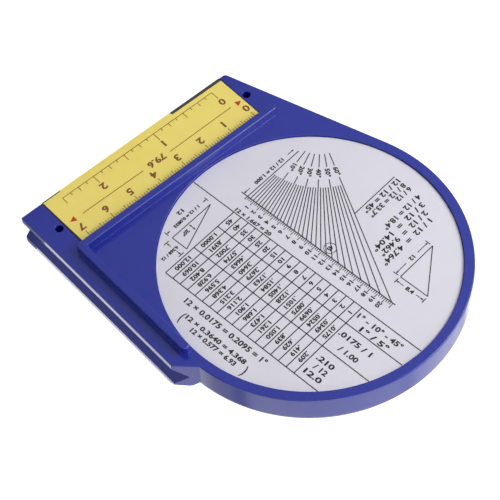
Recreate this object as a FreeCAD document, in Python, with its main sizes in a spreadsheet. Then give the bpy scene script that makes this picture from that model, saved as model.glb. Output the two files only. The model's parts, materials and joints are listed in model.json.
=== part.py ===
import FreeCAD, Part
import math
import os
import re
import Sketcher
from FreeCAD import Vector

# Magnetic inclinometer (pendulum angle finder), standing on its base edge.
#
# Row frame: +Z up, the dial faces -Y, the fence stands on the back towards +Y, and the
# origin is the bottom centre of the whole instrument.
# Local frame of every piece: x to the right and z up from the dial axis, and y = 0 on the
# back plane of the case. Depths run towards the dial, so depth d is at y = -d.

SIZES = (
    # alias, size in mm or degrees, what it measures
    ("rim_radius", 51.5, "outside of the round rim"),
    ("rim_land", 3.3, "flat of the rim around the back label's recess"),
    ("rim_round", 3.6, "rounding of the rim's front edge"),
    ("bezel_land", 1.7, "flat of the rim between the rounding and the lens seat"),
    ("case_depth", 13.1, "case from back plane to front face"),
    ("plate_thickness", 2.6, "back plate under the dial"),
    ("side_flange", 5.5, "grooved side edge beyond the rim"),
    ("end_rise", 0.7, "top of the grooved edge above the dial axis"),
    ("end_height", 5.9, "height of the side flange's slanted end face"),
    ("base_right", 28.6, "dial axis to the start of the base's corner round"),
    ("corner_round", 1.5, "base corner below the sloping edge"),
    ("edge_round", 0.4, "small edge rounds of the moulding"),
    ("end_bevel", 1.7, "front edge bevel of the slanted end face"),
    ("valley_width", 2.7, "sloping bank of the valley around the bezel"),
    ("groove_lip", 2.4, "flat lip on each side of the V-groove"),
    ("groove_depth", 3.6, "V-groove"),
    ("groove_floor", 0.3, "flat at the bottom of the V-groove"),
    ("fence_gap", 0.3, "fence's outer faces beyond the rim radius"),
    ("fence_thickness", 2.6, "L-shaped fence"),
    ("fence_height", 3.5, "fence above the back plane"),
    ("fence_overhang", 1.0, "base leg's free end beyond the right pilot hole"),
    ("fence_top", 0.9, "side leg's free end above the dial axis"),
    ("label_gap", 0.2, "gap around a label or disc in its recess"),
    ("label_thickness", 0.2, "back label"),
    ("label_sink", 0.8, "back label's face below the back plane"),
    ("magnet_width", 22.2, "block magnet, across the base"),
    ("magnet_thickness", 4.0, "block magnet"),
    ("magnet_left", 8.3, "side edge to the magnet pocket"),
    ("magnet_right", 1.5, "magnet pocket to the start of the corner round"),
    ("magnet_gap", 0.2, "gap around the magnet in its pocket"),
    ("magnet_bevel", 0.5, "ground edges of the magnet"),
    ("tape_thickness", 0.3, "adhesive bed under the magnet"),
    ("tape_margin", 3.0, "bare strip of pocket floor around the adhesive bed"),
    ("sticker_thickness", 0.15, "magnet sticker"),
    ("sticker_lap", 0.5, "sticker beyond each end of the magnet"),
    ("screw_radius", 1.4, "pilot hole for a self-threading screw"),
    ("screw_wall", 0.5, "wall between pilot hole and magnet pocket"),
    ("screw_height", 11.8, "pilot holes above the base"),
    ("screw_depth", 10.0, "pilot holes"),
    ("seat_step", 1.6, "shoulder that the lens rests on"),
    ("ring_thickness", 1.1, "lens ring"),
    ("ring_width", 2.0, "lens ring"),
    ("ring_bevel", 0.6, "inner bevel of the lens ring"),
    ("lens_thickness", 1.5, "lens"),
    ("lens_boss_radius", 3.0, "pivot boss inside the lens"),
    ("bush_sink", 0.8, "front bush, sunk in the lens's wall"),
    ("card_thickness", 0.4, "dial card"),
    ("boss_radius", 4.2, "pivot boss of the case"),
    ("boss_height", 1.2, "pivot boss above the back plate"),
    ("bush_radius", 1.8, "pivot bushes"),
    ("bush_cap", 0.4, "closed end of a pivot bush"),
    ("pin_radius", 0.75, "pin between its shoulders"),
    ("pivot_radius", 0.4, "turned pivots at the pin's ends"),
    ("pivot_length", 2.0, "turned pivots"),
    ("running_gap", 0.05, "radial play of a pivot in its bush"),
    ("end_gap", 0.1, "play at each shoulder"),
    ("tip_gap", 0.2, "pivot's end to the bottom of its bush"),
    ("washer_radius", 1.6, "thrust washers"),
    ("washer_thickness", 0.3, "thrust washers"),
    ("weight_inner", 9.0, "counterweight's inner radius"),
    ("weight_margin", 3.0, "counterweight beyond the pointer's tail"),
    ("weight_thickness", 2.0, "counterweight"),
    ("weight_angle", 90.0, "counterweight's sweep"),
    ("pointer_thickness", 0.6, "pointer"),
    ("scale_width", 7.1, "dial's scale, from the well's wall to the pointer's tip"),
    ("tip_width", 0.8, "pointer's tip"),
    ("needle_width", 5.2, "pointer's needle at the hub"),
    ("disc_radius", 7.0, "pointer's round middle"),
    ("tail_radius", 21.0, "pointer's tail"),
    ("tail_angle", 58.0, "tail's sweep"),
    ("hub_radius", 2.2, "hub sleeve"),
    ("flange_radius", 4.4, "hub flange behind the pointer"),
    ("flange_thickness", 0.6, "hub flange"),
    ("hub_gap", 0.3, "pin's shoulders to the ends of the hub"),
    ("collar_radius", 2.9, "hub's swaged collar on the pointer"),
    ("collar_thickness", 0.4, "swaged collar"),
    ("hub_nose", 0.8, "hub sleeve in front of its collar"),
    ("rivet_radius", 1.0, "rivet shank"),
    ("rivet_edge", 4.5, "rivets to the end of the pointer's tail"),
    ("rivet_offset", 5.2, "rivets beside the pointer's middle line"),
    ("rivet_head_radius", 1.9, "rivet head"),
    ("rivet_head_height", 0.6, "rivet head"),
)

DERIVED = (
    # alias, formula, what it places
    ("fence_offset", "rim_radius + fence_gap", "fence's outer faces from the dial axis"),
    ("side_reach", "rim_radius + side_flange", "dial axis to the grooved side edge"),
    ("magnet_seat", "magnet_width + magnet_gap", "pocket from the base to the fence"),
    ("dial_height", "fence_offset + magnet_seat", "dial axis above the base"),
    ("dial_x", "(side_reach - rim_radius) / 2", "dial axis beside the instrument's middle"),
    ("back_y", "(case_depth - fence_height) / 2", "back plane behind the instrument's middle"),
    ("groove_bank", "(case_depth - 2 * groove_lip - groove_floor) / 2", "slope of the V-groove"),
    ("groove_run", "2 * (dial_height + end_rise + end_height)", "V-groove, past both its ends"),
    ("recess_radius", "rim_radius - rim_land", "back label's recess"),
    ("recess_depth", "label_sink + label_thickness", "back label's recess"),
    ("seat_radius", "rim_radius - rim_round - bezel_land", "lens seat"),
    ("well_radius", "seat_radius - seat_step", "dial well"),
    ("ring_inner", "seat_radius - ring_width", "opening of the lens ring"),
    ("lens_front", "case_depth - ring_thickness", "front of the lens"),
    ("lens_back", "lens_front - lens_thickness", "back of the lens"),
    ("lens_socket", "lens_back + bush_sink", "bottom of the bush's hole in the lens"),
    ("boss_front", "plate_thickness + boss_height", "front of the case's pivot boss"),
    ("card_front", "plate_thickness + card_thickness", "face of the dial card"),
    ("bore_depth", "pivot_length - washer_thickness - end_gap + tip_gap", "blind bore of a bush"),
    ("bush_length", "bore_depth + bush_cap", "pivot bushes"),
    ("lens_boss_end", "lens_socket - bush_length", "free end of the lens's boss"),
    ("rear_shoulder", "boss_front + washer_thickness + end_gap", "pin's rear shoulder"),
    ("front_shoulder", "lens_boss_end - washer_thickness - end_gap", "pin's front shoulder"),
    ("hub_back", "rear_shoulder + hub_gap", "back of the hub"),
    ("hub_front", "front_shoulder - hub_gap", "front of the hub"),
    ("collar_front", "hub_front - hub_nose", "front of the hub's collar"),
    ("pointer_front", "collar_front - collar_thickness", "pointer's front face"),
    ("pointer_back", "pointer_front - pointer_thickness", "pointer's back face"),
    ("flange_back", "pointer_back - flange_thickness", "back of the hub's flange"),
    ("pointer_reach", "well_radius - scale_width", "pointer's tip from the axis"),
    ("weight_back", "pointer_back - weight_thickness", "back of the counterweight"),
    ("weight_outer", "tail_radius + weight_margin", "counterweight's outer radius"),
    ("rivet_reach", "tail_radius - rivet_edge", "rivets below the axis"),
    ("pocket_left", "side_reach - magnet_left", "left end of the magnet pocket"),
    ("pocket_right", "base_right - magnet_right", "right end of the magnet pocket"),
    ("pocket_depth", "magnet_thickness + tape_thickness", "magnet pocket"),
    ("screw_left", "pocket_left + screw_wall + screw_radius", "left pilot hole"),
    ("screw_right", "pocket_right + screw_wall + screw_radius", "right pilot hole"),
    ("fence_right", "screw_right + screw_radius + fence_overhang", "base leg's free end"),
)

TOUCH = 1e-4       # mm, when two coordinates count as the same
OVERCUT = "2"      # mm, how far a turned cut runs past the face it opens

doc = FreeCAD.newDocument("inclinometer")
sheet = doc.addObject("Spreadsheet::Sheet", "sizes")


def fill_sheet():
    """Write the driving sizes as plain numbers and the derived ones as formulas."""
    rows = [(alias, str(value), note) for alias, value, note in SIZES]
    rows += [(alias, "=" + formula, note) for alias, formula, note in DERIVED]
    for row, (alias, content, note) in enumerate(rows, start=1):
        sheet.set(f"A{row}", note)
        sheet.set(f"B{row}", content)
        sheet.setAlias(f"B{row}", alias)
    doc.recompute()
    return {alias for alias, _, _ in rows}


ALIASES = fill_sheet()


def from_sheet(text):
    """Point every size named in a formula at its cell."""
    return re.sub(r"[a-z_]+", lambda word: "sizes." + word[0] if word[0] in ALIASES else word[0],
                  text)


def size(text):
    """The number that a formula of sheet sizes gives now."""
    return float(sheet.evalExpression(from_sheet(text)))


def bind(thing, path, text):
    """Tie a property or a constraint to a formula of sheet sizes."""
    thing.setExpression(path, from_sheet(text))


# ---------------------------------------------------------------- sketches

def new_body(name):
    """A body whose local origin lies on the dial axis, in the back plane."""
    body = doc.addObject("PartDesign::Body", name)
    set_down(body)
    return body


def set_down(piece):
    """Place a piece that is drawn about the dial axis."""
    piece.Label = piece.Name
    bind(piece, "Placement.Base.x", "dial_x")
    bind(piece, "Placement.Base.y", "back_y")
    bind(piece, "Placement.Base.z", "dial_height")


def new_sketch(body, name, plane, depth="0"):
    """A sketch on one of the body's origin planes, moved along its normal by depth."""
    sketch = body.newObject("Sketcher::SketchObject", name)
    face = next(part for part in body.Origin.OriginFeatures if part.Role == plane)
    sketch.AttachmentSupport = (face, "")
    sketch.MapMode = "FlatFace"
    bind(sketch, "AttachmentOffset.Base.z", depth)
    return sketch


def constrain(sketch, *terms, formula=None):
    """Add a constraint, with its value tied to a formula where it has one."""
    if formula is None:
        sketch.addConstraint(Sketcher.Constraint(*terms))
        return
    index = sketch.addConstraint(Sketcher.Constraint(*terms, size(formula)))
    bind(sketch, f"Constraints[{index}]", formula)


def fix_point(sketch, edge, end, x, y):
    """Hold one end of an edge at formula coordinates, or on an axis where one is 0."""
    for coordinate, axis, distance in ((x, -2, "DistanceX"), (y, -1, "DistanceY")):
        if coordinate == "0":
            constrain(sketch, "PointOnObject", edge, end, axis)
        else:
            constrain(sketch, distance, -1, 1, edge, end, formula=coordinate)


def bulge_point(start, end, radius, turn):
    """Middle of the arc from start to end, left of the chord for turn -1, right for +1."""
    chord = end - start
    half = chord.Length / 2
    rise = radius - math.sqrt(max(radius * radius - half * half, 0.0))
    return start + chord / 2 + Vector(chord.y, -chord.x, 0).normalize() * rise * turn


def outline(sketch, corners):
    """Draw a closed outline. A corner is (x, y), or (x, y, radius, turn) where an arc of
    that radius runs from it to the next corner; turn is +1 anticlockwise, -1 clockwise."""
    points = [Vector(size(corner[0]), size(corner[1]), 0) for corner in corners]
    first = sketch.GeometryCount
    ends = []
    for index, corner in enumerate(corners):
        start, end = points[index], points[(index + 1) % len(points)]
        if len(corner) == 2:
            sketch.addGeometry(Part.LineSegment(start, end), False)
            ends.append((1, 2))
        else:
            middle = bulge_point(start, end, size(corner[2]), corner[3])
            sketch.addGeometry(Part.Arc(start, middle, end), False)
            ends.append((1, 2) if corner[3] > 0 else (2, 1))
    for index, corner in enumerate(corners):
        edge, following = first + index, (index + 1) % len(corners)
        constrain(sketch, "Coincident", edge, ends[index][1], first + following, ends[following][0])
        fix_point(sketch, edge, ends[index][0], corner[0], corner[1])
        if len(corner) > 2:
            constrain(sketch, "Radius", edge, formula=corner[2])


def circle(sketch, x, y, radius):
    """Draw a circle about formula coordinates."""
    edge = sketch.addGeometry(
        Part.Circle(Vector(size(x), size(y), 0), Vector(0, 0, 1), size(radius)), False)
    if x == "0" and y == "0":
        constrain(sketch, "Coincident", edge, 3, -1, 1)
    else:
        fix_point(sketch, edge, 3, x, y)
    constrain(sketch, "Radius", edge, formula=radius)


# ---------------------------------------------------------------- features

def extrude(body, kind, sketch, length, reverse=False):
    """Pad towards the dial, or pocket towards the back; reverse turns either round."""
    feature = body.newObject("PartDesign::" + kind, sketch.Name.replace("_sketch", ""))
    feature.Profile = sketch
    feature.Reversed = reverse
    bind(feature, "Length", length)
    return feature


def turn(body, name, corners, cut=False, sweep=None):
    """Turn an outline of (y, radius) corners about the dial axis. With a sweep, the solid
    spans that angle, centred straight below the axis."""
    sketch = new_sketch(body, name + "_sketch", "YZ_Plane")
    side = "-" if sweep else ""
    outline(sketch, [(corner[0], corner[1] if corner[1] == "0" else f"{side}({corner[1]})",
                      *corner[2:]) for corner in corners])
    feature = body.newObject("PartDesign::Groove" if cut else "PartDesign::Revolution", name)
    feature.Profile = sketch
    feature.ReferenceAxis = (sketch, ["H_Axis"])
    if sweep:
        feature.Midplane = True
        bind(feature, "Angle", sweep)
    else:
        feature.Angle = 360
    return feature


def dress(body, kind, name, amount, chosen):
    """Round or bevel the body's edges that the test picks out."""
    doc.recompute()
    base = body.Tip
    edges = [f"Edge{index}" for index, edge in enumerate(base.Shape.Edges, start=1) if chosen(edge)]
    feature = body.newObject("PartDesign::" + kind, name)
    feature.Base = (base, edges)
    bind(feature, "Radius" if kind == "Fillet" else "Size", amount)
    return feature


def lies_at(edge, **where):
    """True where both ends and the middle of an edge lie at the given coordinates."""
    spots = [vertex.Point for vertex in edge.Vertexes]
    spots.append(edge.valueAt((edge.FirstParameter + edge.LastParameter) / 2))
    return all(abs(getattr(spot, axis) - value) < TOUCH
               for axis, value in where.items() for spot in spots)


def disc(name, back, front, radius, hole=None):
    """A flat disc or ring from depth back to depth front."""
    body = new_body(name)
    turn(body, name + "_disc", [
        (f"-({back})", hole or "0"),
        (f"-({back})", radius),
        (f"-({front})", radius),
        (f"-({front})", hole or "0"),
    ])
    return body


# ---------------------------------------------------------------- housing

def case_outline(sketch):
    """Outline of the case seen from the dial: base edge, round corner, sloping edge tangent
    to the rim, the rim itself, the slanted end face and the grooved side edge."""
    rim, corner = size("rim_radius"), size("corner_round")
    left, right, base = -size("side_reach"), size("base_right"), -size("dial_height")
    end_z, top_z = size("end_rise"), size("end_rise + end_height")
    corner_x, corner_z = right, base + corner
    reach = math.hypot(corner_x, corner_z)
    lean = math.atan2(corner_z, corner_x) + math.acos((rim - corner) / reach)
    meet = math.pi - math.asin(top_z / rim)
    around = Vector(math.cos(lean), math.sin(lean), 0)
    end_of_rim = Vector(math.cos(meet), math.sin(meet), 0) * rim
    axis = Vector(0, 0, 1)
    corner_centre = Vector(corner_x, corner_z, 0)
    sketch.addGeometry([
        Part.LineSegment(Vector(left, base, 0), Vector(right, base, 0)),
        Part.ArcOfCircle(Part.Circle(corner_centre, axis, corner), -math.pi / 2, lean),
        Part.LineSegment(corner_centre + around * corner, around * rim),
        Part.ArcOfCircle(Part.Circle(Vector(0, 0, 0), axis, rim), lean, meet),
        Part.LineSegment(end_of_rim, Vector(left, end_z, 0)),
        Part.LineSegment(Vector(left, end_z, 0), Vector(left, base, 0)),
    ], False)
    base_edge, corner_arc, slope, rim_arc, end_face, side_edge = range(6)
    for edge, following in ((base_edge, corner_arc), (corner_arc, slope), (slope, rim_arc)):
        constrain(sketch, "Tangent", edge, 2, following, 1)
    for edge, following in ((rim_arc, end_face), (end_face, side_edge), (side_edge, base_edge)):
        constrain(sketch, "Coincident", edge, 2, following, 1)
    constrain(sketch, "Coincident", rim_arc, 3, -1, 1)
    constrain(sketch, "Horizontal", base_edge)
    constrain(sketch, "Vertical", side_edge)
    constrain(sketch, "Radius", rim_arc, formula="rim_radius")
    constrain(sketch, "Radius", corner_arc, formula="corner_round")
    fix_point(sketch, base_edge, 1, "-side_reach", "-dial_height")
    constrain(sketch, "DistanceX", -1, 1, base_edge, 2, formula="base_right")
    constrain(sketch, "DistanceY", -1, 1, side_edge, 1, formula="end_rise")
    constrain(sketch, "DistanceY", -1, 1, end_face, 1, formula="end_rise + end_height")


def add_case_block(body):
    """The solid case with its small edge rounds and the bevelled front of the end face."""
    sketch = new_sketch(body, "case_sketch", "XZ_Plane")
    case_outline(sketch)
    extrude(body, "Pad", sketch, "case_depth")
    front, left, base = -size("case_depth"), -size("side_reach"), -size("dial_height")
    end_z, top_z = size("end_rise"), size("end_rise + end_height")

    def on_end_face(edge):
        heights = sorted(vertex.Z for vertex in edge.Vertexes)
        return (lies_at(edge, y=front) and abs(heights[0] - end_z) < TOUCH
                and abs(heights[-1] - top_z) < TOUCH and edge.Vertexes[0].X < 0)

    dress(body, "Chamfer", "end_face_bevel", "end_bevel", on_end_face)
    dress(body, "Fillet", "back_edge_round", "edge_round", lambda edge: lies_at(edge, y=0))
    dress(body, "Fillet", "side_edge_round", "edge_round",
          lambda edge: lies_at(edge, y=front, x=left) or lies_at(edge, y=front, z=base))


def add_bezel(body):
    """Round the rim's front edge and sink a valley between the bezel and the flanges."""
    turn(body, "bezel_valley", [
        ("-(case_depth - rim_round)", "rim_radius", "rim_round", 1),
        ("-case_depth", "rim_radius - rim_round"),
        (f"-(case_depth + {OVERCUT})", "rim_radius - rim_round"),
        (f"-(case_depth + {OVERCUT})", "rim_radius + valley_width"),
        ("-case_depth", "rim_radius + valley_width"),
    ], cut=True)


def add_dial_well(body):
    """Bore the dial well, the lens seat and the bush's hole, and leave the pivot boss."""
    turn(body, "dial_well", [
        ("-(boss_front - bush_length)", "0"),
        ("-(boss_front - bush_length)", "bush_radius"),
        ("-boss_front", "bush_radius"),
        ("-boss_front", "boss_radius"),
        ("-plate_thickness", "boss_radius"),
        ("-plate_thickness", "well_radius"),
        ("-lens_back", "well_radius"),
        ("-lens_back", "seat_radius"),
        (f"-(case_depth + {OVERCUT})", "seat_radius"),
        (f"-(case_depth + {OVERCUT})", "0"),
    ], cut=True)


def add_fence(body):
    """The L-shaped fence that a square's blade lies against, with rounded free ends."""
    sketch = new_sketch(body, "fence_sketch", "XZ_Plane")
    outer, inner = "-fence_offset", "-fence_offset + fence_thickness"
    middle, nose = "-fence_offset + fence_thickness / 2", "fence_thickness / 2"
    outline(sketch, [
        (outer, outer),
        ("fence_right - fence_thickness / 2", outer, nose, 1),
        ("fence_right", middle, nose, 1),
        ("fence_right - fence_thickness / 2", inner),
        (inner, inner),
        (inner, "fence_top - fence_thickness / 2", nose, 1),
        (middle, "fence_top", nose, 1),
        (outer, "fence_top - fence_thickness / 2"),
    ])
    extrude(body, "Pad", sketch, "fence_height", reverse=True)
    top = size("fence_height")
    dress(body, "Fillet", "fence_round", "edge_round", lambda edge: lies_at(edge, y=top))


def add_groove(body):
    """The V-groove that sits on a pipe or a rod, cut right along the side edge."""
    sketch = new_sketch(body, "groove_sketch", "XY_Plane")
    mouth, floor = "-(side_reach + groove_depth)", "-(side_reach - groove_depth)"
    outline(sketch, [
        (mouth, "-(groove_lip - groove_bank)"),
        (floor, "-(groove_lip + groove_bank)"),
        (floor, "-(groove_lip + groove_bank + groove_floor)"),
        (mouth, "-(groove_lip + 3 * groove_bank + groove_floor)"),
    ])
    groove = extrude(body, "Pocket", sketch, "groove_run")
    groove.Midplane = True


def add_recesses(body):
    """Round recess of the back label, and the magnet's pocket, open at the base."""
    sketch = new_sketch(body, "label_recess_sketch", "XZ_Plane")
    circle(sketch, "0", "0", "recess_radius")
    extrude(body, "Pocket", sketch, "recess_depth", reverse=True)

    sketch = new_sketch(body, "magnet_pocket_sketch", "XZ_Plane")
    outline(sketch, [
        ("-pocket_left", f"-(dial_height + {OVERCUT})"),
        ("pocket_right", f"-(dial_height + {OVERCUT})"),
        ("pocket_right", "-fence_offset"),
        ("-pocket_left", "-fence_offset"),
    ])
    extrude(body, "Pocket", sketch, "pocket_depth", reverse=True)


def add_pilot_holes(body):
    """Two blind pilot holes for screws through a square's blade or a bracket."""
    sketch = new_sketch(body, "pilot_holes_sketch", "XZ_Plane")
    for x in ("-screw_left", "screw_right"):
        circle(sketch, x, "screw_height - dial_height", "screw_radius")
    doc.recompute()
    holes = body.newObject("PartDesign::Hole", "pilot_holes")
    holes.Profile = sketch
    holes.DepthType = "Dimension"
    holes.DrillPoint = "Flat"
    holes.Reversed = True
    bind(holes, "Diameter", "2 * screw_radius")
    bind(holes, "Depth", "screw_depth")


def make_housing():
    """The blue moulding that everything else sits in."""
    body = new_body("housing")
    add_case_block(body)
    add_bezel(body)
    add_dial_well(body)
    add_fence(body)
    add_groove(body)
    add_recesses(body)
    add_pilot_holes(body)
    return body


# ---------------------------------------------------------------- magnet and labels

def flat_block(name, left, right, low, high, back, front):
    """A plain block between two depths, drawn as a rectangle seen from the dial."""
    body = new_body(name)
    sketch = new_sketch(body, name + "_block_sketch", "XZ_Plane", back)
    outline(sketch, [(left, low), (right, low), (right, high), (left, high)])
    extrude(body, "Pad", sketch, f"{front} - ({back})")
    return body


def make_magnet():
    """Block magnet: flush with the back plane and with the base."""
    body = flat_block("ceramic_magnet", "-(pocket_left - magnet_gap)", "pocket_right - magnet_gap",
                      "-dial_height", "-(fence_offset + magnet_gap)", "0", "magnet_thickness")
    low, deep = -size("dial_height"), -size("magnet_thickness")
    dress(body, "Chamfer", "magnet_bevels", "magnet_bevel",
          lambda edge: lies_at(edge, y=deep) and not lies_at(edge, z=low))
    return body


def make_magnet_tape():
    """Adhesive bed between the pocket's floor and the magnet."""
    return flat_block("magnet_tape", "-(pocket_left - tape_margin)", "pocket_right - tape_margin",
                      "-(dial_height - tape_margin)", "-(fence_offset + tape_margin)",
                      "magnet_thickness", "pocket_depth")


def make_magnet_label():
    """Sticker on the magnet's face, from the base to the fence and over both its ends."""
    return flat_block("magnet_label", "-(pocket_left - magnet_gap + sticker_lap)",
                      "pocket_right - magnet_gap + sticker_lap",
                      "-(dial_height - label_gap)", "-(fence_offset + label_gap)",
                      "-sticker_thickness", "0")


# ---------------------------------------------------------------- dial and lens

def make_lens():
    """Flat clear lens with a moulded boss for the front bush."""
    body = new_body("lens")
    turn(body, "lens_and_boss", [
        ("-lens_socket", "0"),
        ("-lens_socket", "bush_radius"),
        ("-lens_boss_end", "bush_radius"),
        ("-lens_boss_end", "lens_boss_radius"),
        ("-lens_back", "lens_boss_radius"),
        ("-lens_back", "seat_radius - label_gap"),
        ("-lens_front", "seat_radius - label_gap"),
        ("-lens_front", "0"),
    ])
    return body


def make_lens_ring():
    """Snap ring with a bevelled opening, flush with the bezel."""
    body = new_body("lens_ring")
    turn(body, "lens_ring_turned", [
        ("-lens_front", "ring_inner"),
        ("-lens_front", "seat_radius"),
        ("-case_depth", "seat_radius"),
        ("-case_depth", "ring_inner + ring_bevel"),
        ("-(case_depth - ring_bevel)", "ring_inner"),
    ])
    return body


def make_bush(name, face, towards_back):
    """Blind pivot bush whose open end is at depth face."""
    body = new_body(name)
    sign = "-" if towards_back else "+"
    turn(body, name + "_turned", [
        (f"-({face} {sign} bush_length)", "0"),
        (f"-({face} {sign} bush_length)", "bush_radius"),
        (f"-{face}", "bush_radius"),
        (f"-{face}", "pivot_radius + running_gap"),
        (f"-({face} {sign} bore_depth)", "pivot_radius + running_gap"),
        (f"-({face} {sign} bore_depth)", "0"),
    ])
    return body


# ---------------------------------------------------------------- pendulum

def make_pivot_pin():
    """Steel pin, turned down to a pivot at each end."""
    body = new_body("pivot_pin")
    turn(body, "pivot_pin_turned", [
        ("-(rear_shoulder - pivot_length)", "0"),
        ("-(rear_shoulder - pivot_length)", "pivot_radius"),
        ("-rear_shoulder", "pivot_radius"),
        ("-rear_shoulder", "pin_radius"),
        ("-front_shoulder", "pin_radius"),
        ("-front_shoulder", "pivot_radius"),
        ("-(front_shoulder + pivot_length)", "pivot_radius"),
        ("-(front_shoulder + pivot_length)", "0"),
    ])
    return body


def make_hub():
    """Brass hub: flange behind the pointer and a collar swaged over it."""
    body = new_body("pointer_hub")
    turn(body, "pointer_hub_turned", [
        ("-hub_back", "pin_radius"),
        ("-hub_back", "hub_radius"),
        ("-flange_back", "hub_radius"),
        ("-flange_back", "flange_radius"),
        ("-pointer_back", "flange_radius"),
        ("-pointer_back", "hub_radius"),
        ("-pointer_front", "hub_radius"),
        ("-pointer_front", "collar_radius"),
        ("-collar_front", "collar_radius"),
        ("-collar_front", "hub_radius"),
        ("-hub_front", "hub_radius"),
        ("-hub_front", "pin_radius"),
    ])
    return body


def bore_rivet_holes(body, back, length):
    """Two rivet holes through the pointer's tail or the counterweight."""
    sketch = new_sketch(body, body.Name + "_holes_sketch", "XZ_Plane", back)
    for x in ("-rivet_offset", "rivet_offset"):
        circle(sketch, x, "-rivet_reach", "rivet_radius")
    extrude(body, "Pocket", sketch, length, reverse=True)


def make_pointer():
    """Stamped pointer: tapered needle, round middle with the hub's hole, and a tail."""
    body = new_body("pointer")
    turn(body, "pointer_tail", [
        ("-pointer_back", "hub_radius"),
        ("-pointer_back", "tail_radius"),
        ("-pointer_front", "tail_radius"),
        ("-pointer_front", "hub_radius"),
    ], sweep="tail_angle")
    sketch = new_sketch(body, "pointer_disc_sketch", "XZ_Plane", "pointer_back")
    circle(sketch, "0", "0", "disc_radius")
    extrude(body, "Pad", sketch, "pointer_thickness")
    sketch = new_sketch(body, "needle_sketch", "XZ_Plane", "pointer_back")
    outline(sketch, [
        ("-needle_width / 2", "hub_radius"),
        ("needle_width / 2", "hub_radius"),
        ("tip_width / 2", "pointer_reach"),
        ("-tip_width / 2", "pointer_reach"),
    ])
    extrude(body, "Pad", sketch, "pointer_thickness")
    sketch = new_sketch(body, "hub_hole_sketch", "XZ_Plane", "pointer_back")
    circle(sketch, "0", "0", "hub_radius")
    extrude(body, "Pocket", sketch, "pointer_thickness", reverse=True)
    bore_rivet_holes(body, "pointer_back", "pointer_thickness")
    return body


def make_counterweight():
    """Steel sector riveted behind the pointer's tail."""
    body = new_body("counterweight")
    turn(body, "weight_sector", [
        ("-weight_back", "weight_inner"),
        ("-weight_back", "weight_outer"),
        ("-pointer_back", "weight_outer"),
        ("-pointer_back", "weight_inner"),
    ], sweep="weight_angle")
    bore_rivet_holes(body, "weight_back", "weight_thickness")
    return body


def make_rivet(name, x):
    """One rivet: shank flush with the counterweight's back and a low round head in front."""
    rivet = doc.addObject("PartDesign::Body", name)
    turn(rivet, name + "_turned", [
        ("-weight_back", "0"),
        ("-weight_back", "rivet_radius"),
        ("-pointer_front", "rivet_radius"),
        ("-pointer_front", "rivet_head_radius"),
        ("-(pointer_front + rivet_head_height / 2)", "rivet_head_radius"),
        ("-(pointer_front + rivet_head_height)", "rivet_head_radius / 2"),
        ("-(pointer_front + rivet_head_height)", "0"),
    ])
    bind(rivet, "Placement.Base.x", x)
    bind(rivet, "Placement.Base.z", "-rivet_reach")
    return rivet


def make_rivets():
    """The pair of rivets, as one group of two solids."""
    pair = doc.addObject("Part::Compound", "weight_rivets")
    pair.Links = [make_rivet("rivet_left", "-rivet_offset"), make_rivet("rivet_right", "rivet_offset")]
    set_down(pair)
    return pair


# ---------------------------------------------------------------- assembly

def make_all():
    """Every sub-part, in the order in which the instrument is put together."""
    return [
        make_housing(),
        disc("back_label", "label_sink", "recess_depth", "recess_radius - label_gap"),
        make_magnet_tape(),
        make_magnet(),
        make_magnet_label(),
        disc("dial_card", "plate_thickness", "card_front", "well_radius - label_gap",
             "boss_radius + label_gap"),
        make_bush("rear_bush", "boss_front", towards_back=True),
        make_bush("front_bush", "lens_boss_end", towards_back=False),
        disc("rear_washer", "boss_front", "boss_front + washer_thickness", "washer_radius",
             "pivot_radius + running_gap"),
        disc("front_washer", "lens_boss_end - washer_thickness", "lens_boss_end",
             "washer_radius", "pivot_radius + running_gap"),
        make_pivot_pin(),
        make_hub(),
        make_pointer(),
        make_counterweight(),
        make_rivets(),
        make_lens(),
        make_lens_ring(),
    ]


def check(nodes):
    """Stop if any object failed, a cut removed nothing or a sub-part has no sound shape."""
    for thing in doc.Objects:
        if {"Invalid", "Error"} & set(thing.State):
            raise RuntimeError(f"{thing.Name} failed: {thing.State}")
    for thing in doc.Objects:
        if thing.TypeId in ("PartDesign::Pocket", "PartDesign::Groove", "PartDesign::Hole"):
            if thing.Shape.Volume >= thing.BaseFeature.Shape.Volume - TOUCH:
                raise RuntimeError(f"{thing.Name} cuts nothing")
    for node in nodes:
        if node.Shape.isNull() or not node.Shape.isValid():
            raise RuntimeError(f"{node.Label} has no sound shape")


nodes = make_all()
doc.recompute()
check(nodes)
os.makedirs("parts", exist_ok=True)
for node in nodes:
    node.Shape.exportStep(os.path.join("parts", node.Label + ".step"))
    box = node.Shape.BoundBox
    print(f"{node.Label:16s} {len(node.Shape.Solids)} solid  {node.Shape.Volume:10.2f} mm3  "
          f"x {box.XMin:7.2f} {box.XMax:7.2f}  y {box.YMin:6.2f} {box.YMax:6.2f}  "
          f"z {box.ZMin:7.2f} {box.ZMax:7.2f}")
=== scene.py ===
import json
import math

import bmesh
import bpy
from mathutils import Matrix, Quaternion, Vector

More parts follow.
